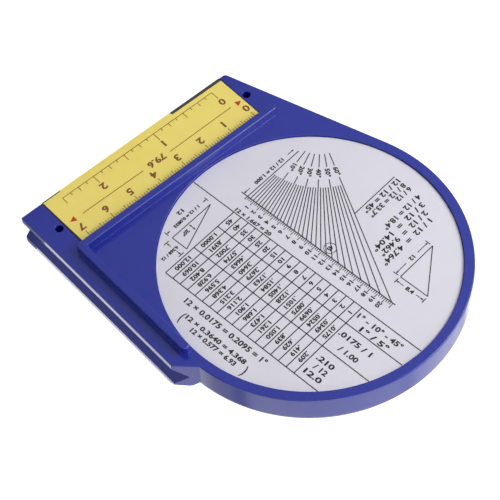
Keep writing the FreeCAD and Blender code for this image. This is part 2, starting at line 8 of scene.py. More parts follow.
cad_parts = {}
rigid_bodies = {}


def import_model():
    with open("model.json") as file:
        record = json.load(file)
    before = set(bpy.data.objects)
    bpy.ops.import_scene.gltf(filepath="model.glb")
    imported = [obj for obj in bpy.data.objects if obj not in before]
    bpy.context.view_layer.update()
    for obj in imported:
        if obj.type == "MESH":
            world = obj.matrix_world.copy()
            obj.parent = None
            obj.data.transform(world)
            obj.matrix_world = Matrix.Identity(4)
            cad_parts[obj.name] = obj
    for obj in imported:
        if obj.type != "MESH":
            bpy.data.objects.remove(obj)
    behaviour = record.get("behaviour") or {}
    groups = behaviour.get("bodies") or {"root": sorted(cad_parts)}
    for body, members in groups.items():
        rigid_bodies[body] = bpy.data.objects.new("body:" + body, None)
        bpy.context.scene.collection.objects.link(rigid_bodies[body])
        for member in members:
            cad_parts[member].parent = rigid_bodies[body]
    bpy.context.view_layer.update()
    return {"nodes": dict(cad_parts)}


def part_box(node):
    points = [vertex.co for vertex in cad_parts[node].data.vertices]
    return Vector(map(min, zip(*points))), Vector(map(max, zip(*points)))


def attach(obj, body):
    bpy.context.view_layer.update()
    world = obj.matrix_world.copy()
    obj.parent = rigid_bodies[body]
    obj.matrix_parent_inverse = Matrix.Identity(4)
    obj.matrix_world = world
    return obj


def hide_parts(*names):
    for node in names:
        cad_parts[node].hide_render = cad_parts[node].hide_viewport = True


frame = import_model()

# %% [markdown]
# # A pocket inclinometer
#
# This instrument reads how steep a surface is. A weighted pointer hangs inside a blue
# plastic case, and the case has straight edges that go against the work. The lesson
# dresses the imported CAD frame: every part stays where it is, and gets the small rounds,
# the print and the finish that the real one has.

MM = 0.001                       # the frame is in metres, and the real sizes here are in mm
UP = Vector((0, 0, 1))
BACK, FRONT = Vector((0, 1, 0)), Vector((0, -1, 0))    # outward: label side, dial side

# %% [markdown]
# ## A drawing frame
#
# Nearly everything on the instrument is round about the dial's axis. So the pieces are
# drawn in millimetres about that axis, with x to the right, z up and depths counted from
# the back plane towards the dial, and one matrix takes a finished drawing to its place.

# %% The dial axis and the back plane
label_low, label_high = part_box("back_label")
_, magnet_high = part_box("ceramic_magnet")
axis_x = (label_low.x + label_high.x) / 2
axis_z = (label_low.z + label_high.z) / 2
back_y = magnet_high.y
ON_AXIS = Matrix.Translation((axis_x, back_y, axis_z)) @ Matrix.Diagonal((MM, MM, MM, 1))
BASE = -axis_z / MM              # the base edge, below the axis
print(f"axis at x {axis_x / MM:.2f}, z {axis_z / MM:.2f}, back plane at y {back_y / MM:.2f} mm")

# %% [markdown]
# ## Camera
#
# The instrument stands on its base edge, and the camera looks at its back from above the
# grooved side, rolled so that the base runs up to the right.

# %% Camera
camera = bpy.data.objects.new("camera", bpy.data.cameras.new("camera"))
bpy.context.scene.collection.objects.link(camera)
camera.data.lens = 122.627       # mm, on a sensor 36 mm wide
camera.rotation_mode = "QUATERNION"
camera.rotation_quaternion = Quaternion((0.8298081, -0.4302129, -0.3041670, -0.1838961))
camera.location = (-0.194190, 0.445914, 0.297206)
camera.data.clip_start, camera.data.clip_end = 0.01, 20
bpy.context.scene.camera = camera

# %% [markdown]
# ## Colours and nodes
#
# A colour is picked as a hex value, as a screen shows it, but a shader counts in linear
# light. One function turns the first into the second, so every material can be written
# in plain hex. A second one adds any shader node, sets its options and fills or links its
# sockets, which keeps each material short enough to read.

# %% Helpers for node trees
def linear(hex_colour):
    """RGBA in linear light from an sRGB hex value."""
    channels = [int(hex_colour[i:i + 2], 16) / 255 for i in (1, 3, 5)]
    return tuple(c / 12.92 if c <= 0.04045 else ((c + 0.055) / 1.055) ** 2.4
                 for c in channels) + (1.0,)


def add(tree, kind, options=None, sockets=None):
    """Add a node. A socket's value is a number, a colour, or the output that feeds it."""
    node = tree.nodes.new("ShaderNode" + kind)
    for name, value in (options or {}).items():
        setattr(node, name, value)
    for name, value in (sockets or {}).items():
        if isinstance(value, bpy.types.NodeSocket):
            tree.links.new(value, node.inputs[name])
        else:
            node.inputs[name].default_value = value
    return node


def new_material(name):
    """A material with an empty node tree; returns it with its tree."""
    material = bpy.data.materials.new(name)
    material.use_nodes = True
    material.node_tree.nodes.clear()
    return material, material.node_tree


def close(tree, shader):
    """Send a shader to the material's output."""
    add(tree, "OutputMaterial", sockets={"Surface": shader.outputs[0]})


# %% [markdown]
# ## Light and floor
#
# A small glossy thing looks best in a white tent with big soft lamps, so its shine is
# broad and its shadows are faint. The world is that tent. The floor is a white board:
# what the camera and the reflections see of it gets a glow of its own, and it keeps the
# shadow. The lamps stay weak, so that each colour comes out about as it is written.

# %% The tent
WHITE = linear("#FFFFFF")
TENT_LIGHT = 0.22                # the tent's light on the instrument; seen, it shows as 1


def light_for_rays(tree, seen, mirrored, unseen):
    """A strength for camera rays, one for glossy and clear rays, and one for all others."""
    path = add(tree, "LightPath")
    mirror_ray = add(tree, "Math", {"operation": "MAXIMUM"},
                     {0: path.outputs["Is Glossy Ray"], 1: path.outputs["Is Transmission Ray"]})
    other = add(tree, "MapRange", sockets={
        "Value": mirror_ray.outputs[0], "To Min": unseen, "To Max": mirrored})
    return add(tree, "MapRange", sockets={
        "Value": path.outputs["Is Camera Ray"], "To Min": other.outputs[0],
        "To Max": seen}).outputs[0]


world = bpy.data.worlds.new("tent")
bpy.context.scene.world = world
world.use_nodes = True
world.node_tree.nodes.clear()
tent = add(world.node_tree, "Background", sockets={
    "Color": WHITE, "Strength": light_for_rays(world.node_tree, 1.0, 1.0, TENT_LIGHT)})
add(world.node_tree, "OutputWorld", sockets={"Surface": tent.outputs[0]})


# %% The floor
def board(name, centre, size):
    """A square sheet that lies level; returns it with its material's node tree."""
    mesh = bmesh.new()
    bmesh.ops.create_grid(mesh, x_segments=1, y_segments=1, size=size / 2,
                          matrix=Matrix.Translation(centre))
    piece = bpy.data.objects.new(name, bpy.data.meshes.new(name))
    mesh.to_mesh(piece.data)
    mesh.free()
    bpy.context.scene.collection.objects.link(piece)
    material, tree = new_material(name + "_white")
    piece.data.materials.append(material)
    return tree


def by_distance(tree, near, far, near_value, far_value):
    """A value that changes between two distances from the instrument, in metres."""
    away = add(tree, "VectorMath", {"operation": "LENGTH"},
               {0: add(tree, "TexCoord").outputs["Object"]})
    return add(tree, "MapRange", sockets={
        "Value": away.outputs["Value"], "From Min": near, "From Max": far,
        "To Min": near_value, "To Max": far_value}).outputs[0]


tree = board("floor", (0, 0, 0), 12.0)
paint = add(tree, "BsdfDiffuse", sockets={"Color": linear("#B4B4B4")})
whiter = by_distance(tree, 0.25, 1.3, 0.8, 1.0)    # the lamps fade, so the glow grows
glow = add(tree, "Emission", sockets={
    "Color": WHITE, "Strength": light_for_rays(tree, whiter, 0.2, 0.0)})
close(tree, add(tree, "AddShader", sockets={0: paint.outputs[0], 1: glow.outputs[0]}))

# %% [markdown]
# Bright cards lie in front, for the grooved side and the rim to mirror. Only reflections
# see them, so they never show beside the instrument.

# %% The cards
CARDS = (                        # name, centre and size in metres, strength near and far
    ("side_card", (-0.42, -0.465, 0.0002), 0.9, (2.0, 0.7)),
    ("rim_card", (0.36, -0.56, 0.0004), 0.5, (2.0, 2.0)))
for name, centre, size, strengths in CARDS:
    tree = board(name, centre, size)
    is_mirrored = add(tree, "LightPath").outputs["Is Glossy Ray"]
    shine = add(tree, "Emission", sockets={"Strength": by_distance(tree, 0.13, 0.35, *strengths)})
    close(tree, add(tree, "MixShader", sockets={
        0: is_mirrored, 1: add(tree, "BsdfTransparent").outputs[0], 2: shine.outputs[0]}))


# %% Lamps
AIM = Vector((0, 0, 0.06))       # the middle of the instrument


def softbox(name, place, size, power, mirrored=True):
    """A square area lamp at place, turned to the instrument. Metres and watts."""
    lamp = bpy.data.lights.new(name, "AREA")
    lamp.size, lamp.energy = size, power
    holder = bpy.data.objects.new(name, lamp)
    holder.location = place
    holder.rotation_mode = "QUATERNION"
    holder.rotation_quaternion = (AIM - Vector(place)).to_track_quat("-Z", "Y")
    holder.visible_glossy = mirrored
    bpy.context.scene.collection.objects.link(holder)


softbox("key_back", (0.40, 0.48, 0.40), 0.45, 4.1)
softbox("rim_front", (0.55, -0.77, 0.05), 0.3, 0.10)
softbox("rim_glow", (0.42, -0.75, 0.37), 0.3, 0.10)
softbox("fill_front", (-0.20, -0.75, 0.45), 0.8, 0.6)
softbox("dial_light", (0.05, -0.86, 0.30), 0.4, 1.2, mirrored=False)    # no glare on the lens
softbox("top", (-0.3, 0.0, 0.85), 0.7, 3.8)

# %% [markdown]
# ## Patterns of a real size
#
# No real surface is one flat colour. Noise on Object coordinates, with its scale worked
# out from a size in millimetres, drives small changes of colour, of roughness and of
# height. Three helpers do that, so that a material only says how big and how strong.

# %% Helpers for patterns
def pattern(tree, size_mm, detail=2.0, stretch=(1, 1, 1)):
    """Noise whose grains are about size_mm across; stretch squeezes them along an axis."""
    place = add(tree, "TexCoord").outputs["Object"]
    scaled = add(tree, "Mapping", sockets={"Vector": place, "Scale": stretch})
    return add(tree, "TexNoise", sockets={
        "Vector": scaled.outputs[0], "Scale": 1 / (size_mm * MM), "Detail": detail}).outputs[0]


def spread(tree, value, low, high):
    """Map noise, which stays mostly within 0.3 to 0.7, to low ... high."""
    return add(tree, "MapRange", {"clamp": False}, {
        "Value": value, "From Min": 0.3, "From Max": 0.7,
        "To Min": low, "To Max": high}).outputs[0]


def blend_colours(tree, factor, first, second):
    """A colour between two hex values."""
    mix = add(tree, "Mix", {"data_type": "RGBA"}, {0: factor})
    mix.inputs[6].default_value = linear(first)
    mix.inputs[7].default_value = linear(second)
    return mix.outputs[2]


def bump(tree, height, depth_mm, strength):
    """A normal from a height pattern that is depth_mm deep."""
    return add(tree, "Bump", sockets={
        "Height": height, "Distance": depth_mm * MM, "Strength": strength}).outputs[0]


# %% [markdown]
# ## Finish: ABS, injection-moulded
#
# The case is moulded in ABS, a plastic that takes the polish of the steel mould. Colour
# goes right through it. What the eye sees is a deep even blue under a clear reflection
# that grows at flat angles, a little cloudiness from the flow of the melt, and very
# shallow waves where thick walls shrank. The snap ring is the same plastic in black.
#
# The roughness of each finish varies a little, but always on one side of about 0.27. Past
# that the denoiser takes a surface for dull, and fine lines show where a pattern crosses.

# %% Moulded ABS
def moulded_abs(name, deep, light, roughness, coat):
    """Glossy moulded plastic; flow clouds 9 mm across, shallow sink waves 16 mm long."""
    material, tree = new_material(name)
    cloud = pattern(tree, 9.0)
    waves = pattern(tree, 16.0, 1.0)
    close(tree, add(tree, "BsdfPrincipled", sockets={
        "Base Color": blend_colours(tree, cloud, deep, light),
        "Roughness": spread(tree, cloud, roughness - 0.03, roughness + 0.03),
        "IOR": 1.54,
        "Coat Weight": coat,
        "Coat Roughness": 0.12,
        "Normal": bump(tree, waves, 0.03, 0.5),
    }))
    return material


BLUE_ABS = moulded_abs("ABS_moulded_blue", "#142695", "#18299D", 0.22, 0.15)
BLACK_ABS = moulded_abs("ABS_moulded_black", "#0B0B0E", "#131317", 0.34, 0.1)

# %% [markdown]
# ## The round body of the case
#
# The mould for a round body is turned on a lathe, so the mesh is too: one outline of
# depths and radii, spun about the dial axis, gives the label's recess, the rim, the lens
# seat, the dial well and the pivot boss at once. The spin starts at the angle where the
# sloping edge will touch the rim, so that the two meet at a corner of both meshes.

# %% Turning an outline
RIM = 51.5                       # outside of the rim
CASE_DEPTH = 13.1
CORNER, CORNER_X = 1.5, 28.6     # corner round of the base, and where it starts
EDGE = 0.4                       # edge rounds of the moulding
CRISP = 0.12                     # the least round that a moulded or turned edge gets
corner_centre = Vector((CORNER_X, BASE + CORNER))
touching = (math.atan2(corner_centre.y, corner_centre.x)     # where the slope meets the rim
            + math.acos((RIM - CORNER) / corner_centre.length))


def turned(corners, steps=150, centre=(0, 0), start=0.0):
    """Spin an outline of (depth, radius) corners about an axis at centre (x, z). It is a
    closed loop, or an open line that begins and ends on the axis."""
    mesh = bmesh.new()
    x, z = centre
    verts = [mesh.verts.new((x + radius * math.cos(start), -depth, z + radius * math.sin(start)))
             for depth, radius in corners]
    pairs = list(zip(verts, verts[1:]))
    if min(radius for _, radius in corners) > 0:
        pairs.append((verts[-1], verts[0]))
    edges = [mesh.edges.new(pair) for pair in pairs]
    bmesh.ops.spin(mesh, geom=verts + edges, cent=(x, 0, z), axis=FRONT, dvec=(0, 0, 0),
                   angle=2 * math.pi, steps=steps, use_merge=True)
    bmesh.ops.remove_doubles(mesh, verts=mesh.verts, dist=0.0001)
    bmesh.ops.recalc_face_normals(mesh, faces=mesh.faces)
    return mesh


def sharp_edges(mesh, degrees):
    """Edges where two faces meet at more than an angle."""
    return [e for e in mesh.edges
            if e.is_manifold and e.calc_face_angle() > math.radians(degrees)]


def soften(mesh, edges, width, segments=3):
    """Round edges, as a mould cutter's radius leaves them."""
    bmesh.ops.bevel(mesh, geom=edges, offset=width, offset_type="OFFSET", affect="EDGES",
                    segments=segments, profile=0.5, material=-1, clamp_overlap=False)


def rounding(depth, radius, size, from_degrees, to_degrees, steps):
    """Corners of an arc in the outline; 0 degrees points outwards, 90 towards the dial."""
    turns = [math.radians(from_degrees + (to_degrees - from_degrees) * i / steps)
             for i in range(steps + 1)]
    return [(depth + size * math.sin(t), radius + size * math.cos(t)) for t in turns]


# %% The round body
LABEL_SINK, RECESS = 1.0, 48.2
RIM_ROUND = 3.6
SEAT, WELL = 46.2, 44.6
LENS_BACK, PLATE, BOSS_FRONT, BOSS = 10.5, 2.6, 3.8, 4.2
BUSH, BUSH_FLOOR = 1.8, 1.6      # radius of the bushes, and how deep the rear one sits
case = turned(
    [(LABEL_SINK, 0), (LABEL_SINK, RECESS), (0, RECESS)]
    + rounding(EDGE, RIM - EDGE, EDGE, -90, 0, 4)
    + rounding(CASE_DEPTH - RIM_ROUND, RIM - RIM_ROUND, RIM_ROUND, 0, 90, 10)
    + [(CASE_DEPTH, SEAT), (LENS_BACK, SEAT), (LENS_BACK, WELL), (PLATE, WELL), (PLATE, BOSS),
       (BOSS_FRONT, BOSS), (BOSS_FRONT, BUSH), (BUSH_FLOOR, BUSH), (BUSH_FLOOR, 0)],
    start=touching)
soften(case, sharp_edges(case, 60), 0.15)
print(f"round body: {len(case.faces)} faces")

# %% [markdown]
# ## The flange and the fence
#
# The base and the grooved side stand out from the round body as one flat flange. It is
# drawn as an outline, extruded to the case's depth and rounded at its edges before it is
# joined on, because an edge is easy to pick out and round while a piece is still simple.
# The L-shaped fence is made the same way. A Boolean then joins and cuts the solids, as a
# toolmaker's cutters would.

# %% Outlines, plates and Booleans
def arc(x, z, radius, start, end, steps):
    """Points of an arc about (x, z), from one angle to another, in radians."""
    return [(x + radius * math.cos(start + (end - start) * i / steps),
             z + radius * math.sin(start + (end - start) * i / steps)) for i in range(steps + 1)]


def plate(outline, back, front):
    """A flat plate of an (x, z) outline, between two depths."""
    mesh = bmesh.new()
    face = mesh.faces.new([mesh.verts.new((x, -back, z)) for x, z in outline])
    grown = bmesh.ops.extrude_face_region(mesh, geom=[face], use_keep_orig=True)
    lifted = [v for v in grown["geom"] if isinstance(v, bmesh.types.BMVert)]
    bmesh.ops.translate(mesh, verts=lifted, vec=(0, back - front, 0))
    bmesh.ops.recalc_face_normals(mesh, faces=mesh.faces)
    return mesh


def combine(first, second, operation):
    """Join or cut two closed meshes with a Boolean; returns the result as a mesh."""
    holders = []
    for mesh in (first, second):
        data = bpy.data.meshes.new("operand")
        mesh.to_mesh(data)
        mesh.free()
        holders.append(bpy.data.objects.new("operand", data))
        bpy.context.scene.collection.objects.link(holders[-1])
    cut = holders[0].modifiers.new("cut", "BOOLEAN")
    cut.operation, cut.object, cut.solver = operation, holders[1], "EXACT"
    result = bmesh.new()
    result.from_mesh(holders[0].evaluated_get(bpy.context.evaluated_depsgraph_get()).to_mesh())
    for holder in holders:
        data = holder.data
        bpy.data.objects.remove(holder)
        bpy.data.meshes.remove(data)
    return result


def all_at(edge, **where):
    """True where both ends of an edge lie at the given coordinates."""
    return all(abs(getattr(v.co, name) - value) < 0.001
               for name, value in where.items() for v in edge.verts)


# %% The flange
SIDE = -57.0                     # the grooved side edge
END_LOW, END_HIGH = 0.7, 6.6     # the slanted end face, above the axis
END_BEVEL = 1.7                  # the bevel on its front edge
INSIDE, SUNK = 49.6, 2.2         # where the flange ends in the round body, and its end face
end_corner = Vector((SIDE, END_LOW))
rim_corner = Vector((-math.sqrt(RIM ** 2 - END_HIGH ** 2), END_HIGH))
buried = rim_corner + (rim_corner - end_corner).normalized() * SUNK


def outside(edge):
    """True for an edge that stays outside once the flange is joined on."""
    return min(v.co.xz.length for v in edge.verts) > INSIDE + 0.3


flange = plate(
    [(SIDE, BASE), *arc(*corner_centre, CORNER, -math.pi / 2, touching, 8),
     (RIM * math.cos(touching), RIM * math.sin(touching)),
     *arc(0, 0, INSIDE, touching, math.atan2(buried.y, buried.x) - 2 * math.pi, 40),
     tuple(buried), tuple(end_corner)], 0, CASE_DEPTH)
end_front = [e for e in flange.edges if all_at(e, y=-CASE_DEPTH) and e.calc_length() > 2
             and max(v.co.z for v in e.verts) > END_LOW + 1 and outside(e)
             and min(v.co.x for v in e.verts) < SIDE + 1]
soften(flange, end_front, END_BEVEL, 1)
upright = [e for e in flange.edges if all_at(e, x=SIDE, z=BASE) or all_at(e, x=SIDE, z=END_LOW)]
rear_edges = [e for e in flange.edges if all_at(e, y=0) and outside(e)]
front_edges = [e for e in flange.edges if all_at(e, y=-CASE_DEPTH) and outside(e)
               and max(v.co.z for v in e.verts) < END_LOW]
soften(flange, upright + rear_edges + front_edges, EDGE, 4)
print(f"flange: {len(flange.faces)} faces")

# %% [markdown]
# A valley runs round the bezel where the flange's front slopes down to the rim. The
# cutter is a cone, turned with the same steps as the round body, so their facets match.

# %% The valley, the fence and the joins
VALLEY = 2.7                     # width of the sloping bank
FOOT = CASE_DEPTH - RIM_ROUND - 0.1                    # depth where it meets the rim
bank = VALLEY / (CASE_DEPTH - FOOT)                    # how far it widens per mm of depth
INTO, PAST = 3.5, 2              # a cutter reaches into the rim and past the front
valley = turned([(FOOT - INTO / bank, RIM - INTO), (CASE_DEPTH + PAST, RIM - INTO),
                 (CASE_DEPTH + PAST, RIM + VALLEY + PAST * bank)], start=touching)
flange = combine(flange, valley, "DIFFERENCE")
case = combine(case, flange, "UNION")

FENCE, THICK, TALL = 51.8, 2.6, 3.5
FENCE_RIGHT, FENCE_TOP = 31.4, 0.9
ROOT, FENCE_CORNER = 0.6, 0.5    # how far it sinks into the back, and its corner rounds
nose = THICK / 2
fence = plate(
    [(-FENCE, -FENCE),
     *arc(FENCE_RIGHT - nose, nose - FENCE, nose, -math.pi / 2, math.pi / 2, 12),
     (THICK - FENCE, THICK - FENCE),
     *arc(nose - FENCE, FENCE_TOP - nose, nose, 0, math.pi, 12)],
    ROOT, -TALL)
soften(fence, [e for e in fence.edges if all_at(e, x=-FENCE, z=-FENCE)
               or all_at(e, x=THICK - FENCE, z=THICK - FENCE)], FENCE_CORNER)
soften(fence, [e for e in fence.edges if all_at(e, y=TALL)], EDGE, 4)
case = combine(case, fence, "UNION")
print(f"case with flange and fence: {len(case.faces)} faces")

# %% [markdown]
# ## The cuts
#
# Three things are cut into the flange: the magnet's pocket, open at the base, the
# V-groove that sits on a pipe, and two blind pilot holes. Last, coplanar faces that the
# Booleans left apart are dissolved, and the edges that are still sharp get a small round.

# %% Pocket, groove and holes
POCKET_LEFT, POCKET_RIGHT, POCKET_DEPTH = -48.7, 27.1, 4.3
LIP, GROOVE_DEPTH, GROOVE_FLOOR = 2.4, 3.6, 0.3
SCREW, SCREW_HEIGHT, SCREW_DEPTH = 1.4, 11.8, 10.0
WEB = 0.5                        # the wall between the pocket and a pilot hole
OFF_BACK = -1                    # the depth where a cutter starts, off the back
GROOVE_START, GROOVE_LENGTH = BASE - 3, 90             # of its cutter, upwards
case = combine(case, plate([(POCKET_LEFT, BASE - PAST), (POCKET_RIGHT, BASE - PAST),
                            (POCKET_RIGHT, -FENCE), (POCKET_LEFT, -FENCE)],
                           POCKET_DEPTH, OFF_BACK), "DIFFERENCE")

wall = (CASE_DEPTH - 2 * LIP - GROOVE_FLOOR) / 2       # what each slanted wall takes
section = [(SIDE - GROOVE_DEPTH, LIP - wall), (SIDE + GROOVE_DEPTH, LIP + wall),
           (SIDE + GROOVE_DEPTH, LIP + wall + GROOVE_FLOOR),
           (SIDE - GROOVE_DEPTH, LIP + 3 * wall + GROOVE_FLOOR)]
groove = plate(section, 0, GROOVE_LENGTH)              # drawn lying, and stood up here
groove.transform(Matrix(((1, 0, 0, 0), (0, 0, -1, 0), (0, -1, 0, GROOVE_START), (0, 0, 0, 1))))
bmesh.ops.recalc_face_normals(groove, faces=groove.faces)
case = combine(case, groove, "DIFFERENCE")

for x in (POCKET_LEFT - WEB - SCREW, POCKET_RIGHT + WEB + SCREW):
    drill = turned([(OFF_BACK, 0), (OFF_BACK, SCREW), (SCREW_DEPTH, SCREW), (SCREW_DEPTH, 0)],
                   24, (x, BASE + SCREW_HEIGHT))
    case = combine(case, drill, "DIFFERENCE")
print(f"case, cut: {len(case.faces)} faces")


# %% Finishing the case
def to_object(mesh, name, body, material, place=ON_AXIS):
    """Make a drawing into a named piece in its place, riding on a body."""
    mesh.transform(place)
    data = bpy.data.meshes.new(name)
    mesh.to_mesh(data)
    mesh.free()
    data.materials.append(material)
    piece = bpy.data.objects.new(name, data)
    bpy.context.scene.collection.objects.link(piece)
    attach(piece, body)
    return piece


def smooth_by_angle(piece, degrees=36):
    """Shade smooth, with sharper edges kept, and let large faces lead the normals."""
    data = piece.data
    data.polygons.foreach_set("use_smooth", [True] * len(data.polygons))
    data.set_sharp_from_angle(angle=math.radians(degrees))
    lead = piece.modifiers.new("face normals", "WEIGHTED_NORMAL")
    lead.keep_sharp = True


bmesh.ops.remove_doubles(case, verts=case.verts, dist=0.004)
bmesh.ops.dissolve_limit(case, angle_limit=math.radians(0.1), verts=case.verts,
                         edges=case.edges, use_dissolve_boundaries=False)
soften(case, [e for e in sharp_edges(case, 50) if e.calc_length() > 0.25
              and min(face.calc_area() for face in e.link_faces) > 0.3], CRISP)
open_edges = sum(not e.is_manifold for e in case.edges)
case_moulding = to_object(case, "case_moulding", "case", BLUE_ABS)
smooth_by_angle(case_moulding)
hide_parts("housing")
print(f"case moulding: {len(case_moulding.data.polygons)} faces, {open_edges} open edges")

# %% [markdown]
# ## Finish: paper, film and ink
#
# The label is coated paper: bright, with a dull sheen and a very fine tooth from its
# fibres. The sticker is a polyester film, printed yellow from behind, so it is smoother
# and shines more. Ink lies on both as a thin film with a gloss of its own.

# %% Coated paper
def coated_paper(name, white, grey):
    """Clay-coated label stock; fibres 0.35 mm apart, and broad shifts of tone."""
    material, tree = new_material(name)
    fibre = pattern(tree, 0.35, 4.0)
    close(tree, add(tree, "BsdfPrincipled", sockets={
        "Base Color": blend_colours(tree, pattern(tree, 14.0), white, grey),
        "Roughness": spread(tree, fibre, 0.42, 0.55),
        "IOR": 1.48,
        "Normal": bump(tree, fibre, 0.008, 0.5),
    }))
    return material


LABEL_PAPER = coated_paper("paper_coated_label", "#E5E3ED", "#DDDBE5")
DIAL_PAPER = coated_paper("paper_coated_dial", "#E4E3DE", "#DDDCD6")


# %% Polyester film
def polyester_film(name, bright, deep):
    """Printed film: flat colour, soft gloss, and faint waves where it was rubbed on."""
    material, tree = new_material(name)
    wave = pattern(tree, 6.0)
    close(tree, add(tree, "BsdfPrincipled", sockets={
        "Base Color": blend_colours(tree, wave, bright, deep),
        "Roughness": spread(tree, pattern(tree, 1.2), 0.34, 0.42),
        "IOR": 1.6,
        "Normal": bump(tree, wave, 0.04, 0.4),
    }))
    return material


YELLOW_FILM = polyester_film("polyester_film_yellow", "#FFEC7E", "#F8E270")


# %% Printing ink
def ink(name, dark, thin, roughness=0.4):
    """An ink film; where it is thinner, over grains of 0.4 mm, its colour is weaker."""
    material, tree = new_material(name)
    close(tree, add(tree, "BsdfPrincipled", sockets={
        "Base Color": blend_colours(tree, pattern(tree, 0.4), dark, thin),
        "Roughness": spread(tree, pattern(tree, 0.8), roughness - 0.06, roughness + 0.06),
        "IOR": 1.5,
    }))
    return material


BLACK_INK = ink("offset_ink_black", "#060608", "#0E0E12")
BROWN_INK = ink("screen_ink_brown", "#7D4A1E", "#8B5626")
RED_INK = ink("screen_ink_red", "#B8371A", "#C44524")

# %% [markdown]
# ## Helpers for print
#
# Print is a film of ink 0.03 mm thick. Lines are thin bars, and figures are text that is
# made into a mesh. They are drawn in millimetres on a sheet whose x runs right and y up
# for its reader, and one matrix lays the finished sheet on its surface. That keeps every
# scale as easy to write as it is to draw with a ruler.

# %% Sheets and lines
INK = 0.03                       # thickness of the ink film, in mm


def reader_frame(out, centre, turn_deg=0.0):
    """Matrix from a printed sheet in mm to its place; out points at the reader."""
    right = UP.cross(out)
    place = Matrix((right, UP, out)).transposed().to_4x4()
    place.translation = centre
    return (place @ Matrix.Rotation(math.radians(turn_deg), 4, "Z")
            @ Matrix.Diagonal((MM, MM, MM, 1)))


def heading(degrees):
    """A unit vector at an angle from x, on a sheet."""
    turn = math.radians(degrees)
    return Vector((math.cos(turn), math.sin(turn)))


def bar(sheet, x0, y0, x1, y1, width=0.32):
    """A printed line between two points."""
    start, end = Vector((x0, y0, 0)), Vector((x1, y1, 0))
    run = end - start
    place = (Matrix.Translation((start + end) / 2 + Vector((0, 0, INK / 2)))
             @ Matrix.Rotation(math.atan2(run.y, run.x), 4, "Z")
             @ Matrix.Diagonal((run.length, width, INK, 1)))
    bmesh.ops.create_cube(sheet, size=1, matrix=place)


# %% Figures
FIGURE_HEIGHT = 0.7              # height of a digit in the built-in font, at size 1
WIDE = 1.18                      # the real figures are a little wider than that font


def figures(sheet, text, x, y, height, turn_deg=0.0, width=None, bold=0.085):
    """Printed figures centred on a point, stretched to a width where one is given."""
    curve = bpy.data.curves.new("figures", "FONT")
    curve.body, curve.size = text, height / FIGURE_HEIGHT
    curve.extrude, curve.resolution_u, curve.offset = INK / 2, 2, bold
    holder = bpy.data.objects.new("figures", curve)
    made = bpy.data.meshes.new_from_object(holder)
    left, right = (limit(v.co.x for v in made.vertices) for limit in (min, max))
    low, high = (limit(v.co.y for v in made.vertices) for limit in (min, max))
    stretch = width / (right - left) if width else WIDE
    made.transform(Matrix.Translation((x, y, INK / 2))
                   @ Matrix.Rotation(math.radians(turn_deg), 4, "Z")
                   @ Matrix.Diagonal((stretch, 1, 1, 1))
                   @ Matrix.Translation((-(left + right) / 2, -(low + high) / 2, 0)))
    sheet.from_mesh(made)
    bpy.data.objects.remove(holder)
    bpy.data.curves.remove(curve)
    bpy.data.meshes.remove(made)


# %% Flat shapes, rings and dimension lines
def patch(sheet, corners):
    """A printed flat shape from its corners."""
    face = sheet.faces.new([sheet.verts.new((x, y, 0)) for x, y in corners])
    grown = bmesh.ops.extrude_face_region(sheet, geom=[face], use_keep_orig=True)
    lifted = [v for v in grown["geom"] if isinstance(v, bmesh.types.BMVert)]
    bmesh.ops.translate(sheet, verts=lifted, vec=(0, 0, INK))


def arrowhead(sheet, tip, way, length=1.0, width=0.7):
    """A printed triangle whose tip points along way."""
    way = Vector(way).normalized()
    foot, side = Vector(tip) - way * length, Vector((-way.y, way.x)) * width / 2
    patch(sheet, [tuple(tip), tuple(foot + side), tuple(foot - side)])


def ring(sheet, x, y, radius, width=0.22, steps=48):
    """A printed circle about a point."""
    section = [(radius - width / 2, 0), (radius + width / 2, 0),
               (radius + width / 2, INK), (radius - width / 2, INK)]
    verts = [sheet.verts.new((x + r, y, z)) for r, z in section]
    edges = [sheet.edges.new((verts[i], verts[(i + 1) % 4])) for i in range(4)]
    bmesh.ops.spin(sheet, geom=verts + edges, axis=(0, 0, 1), cent=(x, y, 0), steps=steps,
                   angle=2 * math.pi, use_merge=True)


def dimension(sheet, start, end, text, gap, height=1.3, turn_deg=0.0):
    """A dimension line with a head at each end; its number, if any, stands in a gap."""
    start, end = Vector(start), Vector(end)
    way, middle = (end - start).normalized(), (start + end) / 2
    for tip, out in ((start, -way), (end, way)):
        bar(sheet, *(tip - out * 0.6), *(middle + out * gap / 2), 0.25)
        arrowhead(sheet, tip, out)
    if text:
        figures(sheet, text, *middle, height, turn_deg)


def printed(sheet, name, material, place):
    """Lay a finished sheet of print in its place, on the case."""
    bmesh.ops.remove_doubles(sheet, verts=sheet.verts, dist=0.0001)
    bmesh.ops.recalc_face_normals(sheet, faces=sheet.faces)
    piece = to_object(sheet, name, "case", material, place)
    print(f"{name}: {len(piece.data.polygons)} faces")


# %% [markdown]
# ## The back label: a table of slopes
#
# The label turns an angle into a rise, so its numbers are not typed in: they are worked
# out. Each row is an angle, its tangent (the rise per unit of run) and twelve times that.
# The sheet sits a little crooked on the case, as the real one does.

# %% The table
label = bmesh.new()
LABEL_RADIUS = 48.0
COLUMNS, MIDDLES = (2.8, 10.3, 21.1, 33.8), (6.6, 16.0, 27.7)    # their lines, their figures
TABLE_LOW, ROW, RULED = -29.9, 3.188, 0.34
ANGLES = (45, 40, 35, 30, 25, 20, 15, 10, 9, 8, 7, 6, 5, 4, 3, 2, 1)
HEADS = (                        # text, middle x and y, width; all read upwards
    ("1° - 10° - 45°", 5.6, 34.0, 17.5), ("1° / 5°", 8.8, 34.4, 11.0),
    (".0175 / 1", 13.9, 31.3, 12.6), ("/ 1.00", 18.2, 32.2, 7.4),
    (".210", 24.8, 29.0, 6.6), ("/ 12", 27.8, 29.6, 5.0), ("12.0", 30.8, 29.2, 6.6))


